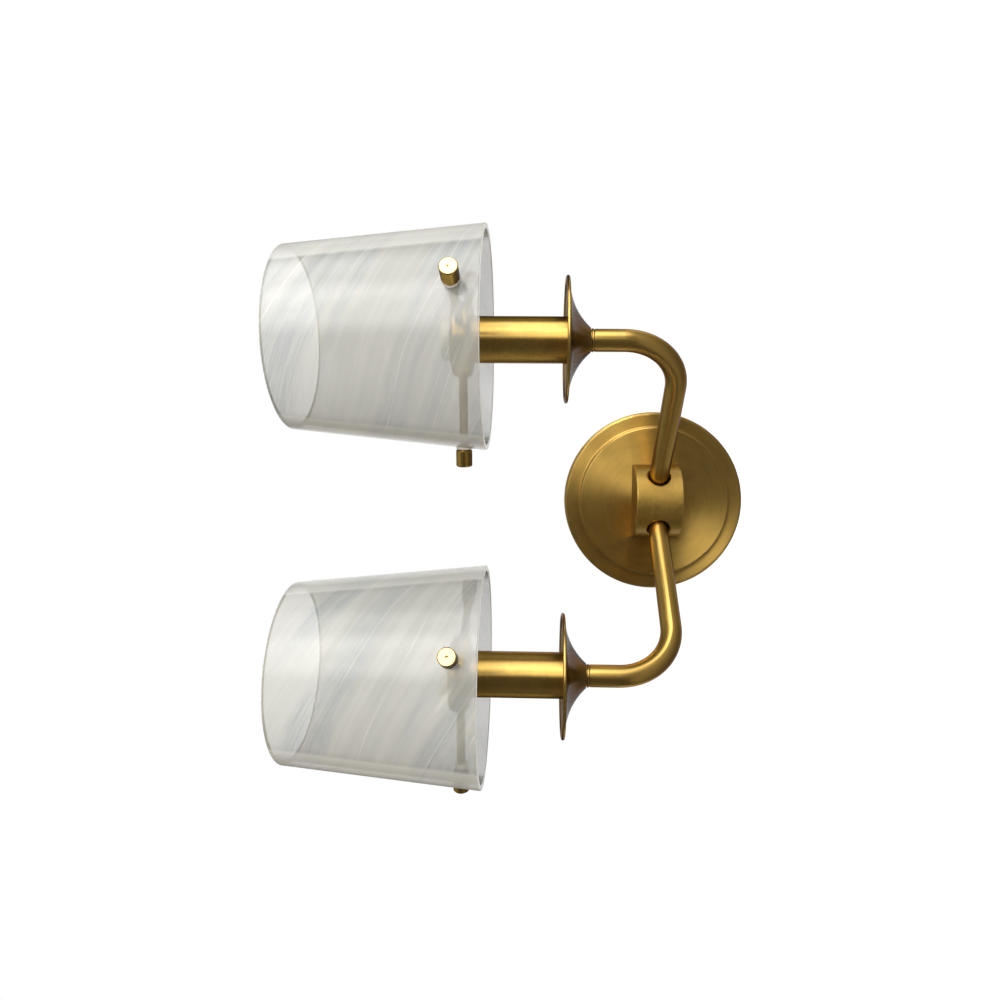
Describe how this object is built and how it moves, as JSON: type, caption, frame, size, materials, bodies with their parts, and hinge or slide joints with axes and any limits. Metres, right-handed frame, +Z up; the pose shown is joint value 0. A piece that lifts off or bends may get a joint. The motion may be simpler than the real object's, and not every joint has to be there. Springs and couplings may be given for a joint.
{
  "type": "double arm wall sconce",
  "caption": "Wall light with a round brass plate, curved tube arms and open cone glass shades held by thumb knobs.",
  "frame": {"origin": "centre of the bracket's wall screws, on the wall", "axes": "+Z up, +Y into the wall, the front faces -Y, +X along the lamps"},
  "size_m": [0.3245, 0.1751, 0.2815],
  "materials": {
    "antique_brass": "satin antique brass, brushed round the turned parts, clear lacquer",
    "brass_hardware": "turned and left bright satin",
    "zinc_steel": "zinc plated",
    "cast_block": "cast and drilled, plain",
    "alabaster_glass": "translucent white glass with fine streaks, glossy",
    "soft_washer": "soft translucent washer",
    "porcelain": "glazed porcelain",
    "contact_brass": "stamped, bright",
    "lead_cover": "heat-proof silicone sleeve over two cores",
    "terminal_plastic": "moulded nylon"
  },
  "bodies": {
    "fixture": {"wall_bracket": "zinc_steel", "earth_washer": "zinc_steel", "earth_screw": "brass_hardware", "terminal_block": "terminal_plastic", "terminal_screws": "brass_hardware", "backplate": "antique_brass", "plate_grub_screws": "brass_hardware", "hub_boss": "antique_brass", "hub_screws": "zinc_steel", "arm_block": "cast_block", "block_screws": "zinc_steel", "arm_tube_right": "antique_brass", "arm_nipple_right": "zinc_steel", "lamp_stem_right": "zinc_steel", "arm_collar_right": "antique_brass", "cup_right": "antique_brass", "stem_nuts_right": "zinc_steel", "sleeve_seat_right": "zinc_steel", "candle_sleeve_right": "antique_brass", "holder_cap_right": "porcelain", "holder_body_right": "porcelain", "screw_shell_right": "contact_brass", "centre_contact_right": "contact_brass", "shade_carrier_right": "antique_brass", "carrier_grub_right": "brass_hardware", "glass_shade_right": "alabaster_glass", "inner_washers_right": "soft_washer", "lamp_lead_right": "lead_cover", "arm_tube_left": "antique_brass", "arm_nipple_left": "zinc_steel", "lamp_stem_left": "zinc_steel", "arm_collar_left": "antique_brass", "cup_left": "antique_brass", "stem_nuts_left": "zinc_steel", "sleeve_seat_left": "zinc_steel", "candle_sleeve_left": "antique_brass", "holder_cap_left": "porcelain", "holder_body_left": "porcelain", "screw_shell_left": "contact_brass", "centre_contact_left": "contact_brass", "shade_carrier_left": "antique_brass", "carrier_grub_left": "brass_hardware", "glass_shade_left": "alabaster_glass", "inner_washers_left": "soft_washer", "lamp_lead_left": "lead_cover"},
    "travel_right_1": {"knob_washer_right_1": "soft_washer"},
    "knob_right_1": {"shade_knob_right_1": "antique_brass"},
    "travel_right_2": {"knob_washer_right_2": "soft_washer"},
    "knob_right_2": {"shade_knob_right_2": "antique_brass"},
    "travel_right_3": {"knob_washer_right_3": "soft_washer"},
    "knob_right_3": {"shade_knob_right_3": "antique_brass"},
    "travel_left_1": {"knob_washer_left_1": "soft_washer"},
    "knob_left_1": {"shade_knob_left_1": "antique_brass"},
    "travel_left_2": {"knob_washer_left_2": "soft_washer"},
    "knob_left_2": {"shade_knob_left_2": "antique_brass"},
    "travel_left_3": {"knob_washer_left_3": "soft_washer"},
    "knob_left_3": {"shade_knob_left_3": "antique_brass"}
  },
  "joints": [
    {"name": "knob_slide_right_1", "type": "slide", "parent": "fixture", "child": "travel_right_1", "axis": [0.319, -0.9478, 0], "range_m": [0, 0.008]},
    {"name": "knob_spin_right_1", "type": "hinge", "parent": "travel_right_1", "child": "knob_right_1", "pos_m": [0.095, -0.105, 0.12371], "axis": [0.319, -0.9478, 0], "range_deg": [0, 5760]},
    {"name": "knob_slide_right_2", "type": "slide", "parent": "fixture", "child": "travel_right_2", "axis": [0.6613, 0.7501, 0], "range_m": [0, 0.008]},
    {"name": "knob_spin_right_2", "type": "hinge", "parent": "travel_right_2", "child": "knob_right_2", "pos_m": [0.095, -0.105, 0.12371], "axis": [0.6613, 0.7501, 0], "range_deg": [0, 5760]},
    {"name": "knob_slide_right_3", "type": "slide", "parent": "fixture", "child": "travel_right_3", "axis": [-0.9803, 0.1977, 0], "range_m": [0, 0.008]},
    {"name": "knob_spin_right_3", "type": "hinge", "parent": "travel_right_3", "child": "knob_right_3", "pos_m": [0.095, -0.105, 0.12371], "axis": [-0.9803, 0.1977, 0], "range_deg": [0, 5760]},
    {"name": "knob_slide_left_1", "type": "slide", "parent": "fixture", "child": "travel_left_1", "axis": [0.3907, -0.9205, 0], "range_m": [0, 0.008]},
    {"name": "knob_spin_left_1", "type": "hinge", "parent": "travel_left_1", "child": "knob_left_1", "pos_m": [-0.095, -0.105, 0.12371], "axis": [0.3907, -0.9205, 0], "range_deg": [0, 5760]},
    {"name": "knob_slide_left_2", "type": "slide", "parent": "fixture", "child": "travel_left_2", "axis": [0.6018, 0.7986, 0], "range_m": [0, 0.008]},
    {"name": "knob_spin_left_2", "type": "hinge", "parent": "travel_left_2", "child": "knob_left_2", "pos_m": [-0.095, -0.105, 0.12371], "axis": [0.6018, 0.7986, 0], "range_deg": [0, 5760]},
    {"name": "knob_slide_left_3", "type": "slide", "parent": "fixture", "child": "travel_left_3", "axis": [-0.9925, 0.1219, 0], "range_m": [0, 0.008]},
    {"name": "knob_spin_left_3", "type": "hinge", "parent": "travel_left_3", "child": "knob_left_3", "pos_m": [-0.095, -0.105, 0.12371], "axis": [-0.9925, 0.1219, 0], "range_deg": [0, 5760]}
  ],
  "couplings": [
    {"joint": "knob_spin_right_1", "follows": "knob_slide_right_1", "rad_per_m": 12566},
    {"joint": "knob_spin_right_2", "follows": "knob_slide_right_2", "rad_per_m": 12566},
    {"joint": "knob_spin_right_3", "follows": "knob_slide_right_3", "rad_per_m": 12566},
    {"joint": "knob_spin_left_1", "follows": "knob_slide_left_1", "rad_per_m": 12566},
    {"joint": "knob_spin_left_2", "follows": "knob_slide_left_2", "rad_per_m": 12566},
    {"joint": "knob_spin_left_3", "follows": "knob_slide_left_3", "rad_per_m": 12566}
  ]
}
